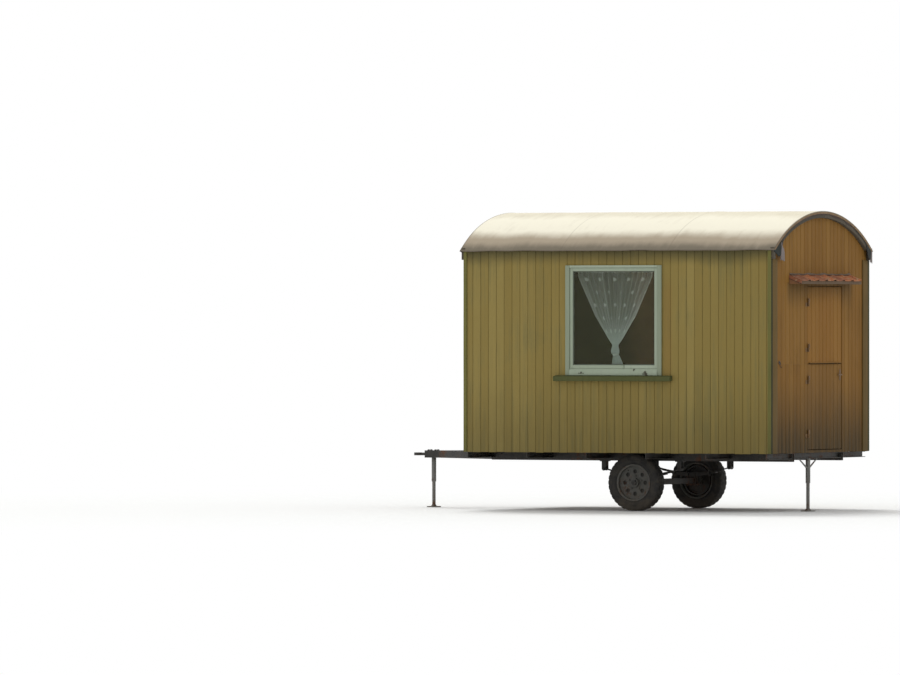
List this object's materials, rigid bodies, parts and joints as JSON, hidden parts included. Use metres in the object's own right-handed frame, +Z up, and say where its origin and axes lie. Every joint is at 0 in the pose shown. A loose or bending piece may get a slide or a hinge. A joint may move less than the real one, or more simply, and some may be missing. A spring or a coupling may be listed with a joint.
{
  "type": "site wagon hut",
  "caption": "Small boarded hut on a sprung road axle, with a barrel roof, side windows, a split door under a tiled canopy, and a drawbar.",
  "frame": {"origin": "on the ground, at the middle of the whole wagon's length and width, drawbar and canopy included", "axes": "+X along the hut from the drawbar to the door end, +Z up; the side with the window that the picture shows faces -Y"},
  "size_m": [4.805, 2.524, 3.0748],
  "materials": {
    "chassis_paint": "old dull black paint with rust",
    "bare_steel": "dull grey steel, rusty at the foot",
    "wheel_paint": "dusty dark grey paint",
    "tyre_rubber": "weathered rubber",
    "plain_timber": "plain sawn softwood",
    "yellow_boards": "flat yellow ochre paint on matched boards",
    "orange_boards": "flat orange ochre paint on matched boards",
    "door_paint": "flat orange ochre paint, a little fresher than the wall",
    "olive_paint": "weathered olive green paint",
    "roof_felt": "pale mineral felt, stained at the eaves",
    "verge_paint": "dark brown grey paint",
    "hinge_steel": "painted over with the wall",
    "latch_steel": "dark worn paint",
    "window_white": "old white gloss paint with a green cast",
    "pane": "clear window glass",
    "curtain_net": "thin white dotted net",
    "rod_brass": "dull brass",
    "grey_paint": "weathered grey board",
    "clay_tile": "red clay, mottled"
  },
  "bodies": {
    "hut": {"chassis_rails": "chassis_paint", "cross_members": "chassis_paint", "drawbar_arms": "chassis_paint", "drawbar_head": "chassis_paint", "axle": "chassis_paint", "springs": "chassis_paint", "spring_hangers": "chassis_paint", "towing_eye": "bare_steel", "drawbar_prop": "bare_steel", "door_end_prop": "bare_steel", "floor_joists": "plain_timber", "floor_boards": "plain_timber", "roof_bows": "plain_timber", "roof_boards": "plain_timber", "canopy_deck": "plain_timber", "door_frame": "plain_timber", "wall_near": "yellow_boards", "wall_far": "yellow_boards", "wall_drawbar_end": "orange_boards", "door_wall_near": "orange_boards", "door_wall_far": "orange_boards", "door_wall_gable": "orange_boards", "corner_boards": "olive_paint", "window_sills": "olive_paint", "roof_felt": "roof_felt", "verge_boards": "verge_paint", "door_hinges": "hinge_steel", "window_frame_near": "window_white", "window_sash_near": "window_white", "window_frame_far": "window_white", "window_sash_far": "window_white", "window_glass_near": "pane", "window_glass_far": "pane", "curtain_near": "curtain_net", "curtain_far": "curtain_net", "curtain_rods": "rod_brass", "canopy_fascia": "grey_paint", "canopy_tiles": "clay_tile"},
    "lower_leaf": {"door_lower_leaf": "door_paint", "door_latch": "latch_steel"},
    "upper_leaf": {"door_upper_leaf": "door_paint"},
    "near_wheel": {"wheel_near": "wheel_paint", "tyre_near": "tyre_rubber"},
    "far_wheel": {"wheel_far": "wheel_paint", "tyre_far": "tyre_rubber"}
  },
  "joints": [
    {"name": "lower_leaf_hinge", "type": "hinge", "parent": "hut", "child": "lower_leaf", "pos_m": [2.2785, -0.296, 1], "axis": [0, 0, -1], "range_deg": [0, 170]},
    {"name": "upper_leaf_hinge", "type": "hinge", "parent": "hut", "child": "upper_leaf", "pos_m": [2.2785, -0.296, 1.9], "axis": [0, 0, -1], "range_deg": [0, 170]},
    {"name": "near_wheel_spin", "type": "hinge", "parent": "hut", "child": "near_wheel", "pos_m": [0.5425, -0.75, 0.29], "axis": [0, 1, 0], "continuous": true},
    {"name": "far_wheel_spin", "type": "hinge", "parent": "hut", "child": "far_wheel", "pos_m": [0.5425, 0.75, 0.29], "axis": [0, 1, 0], "continuous": true}
  ]
}
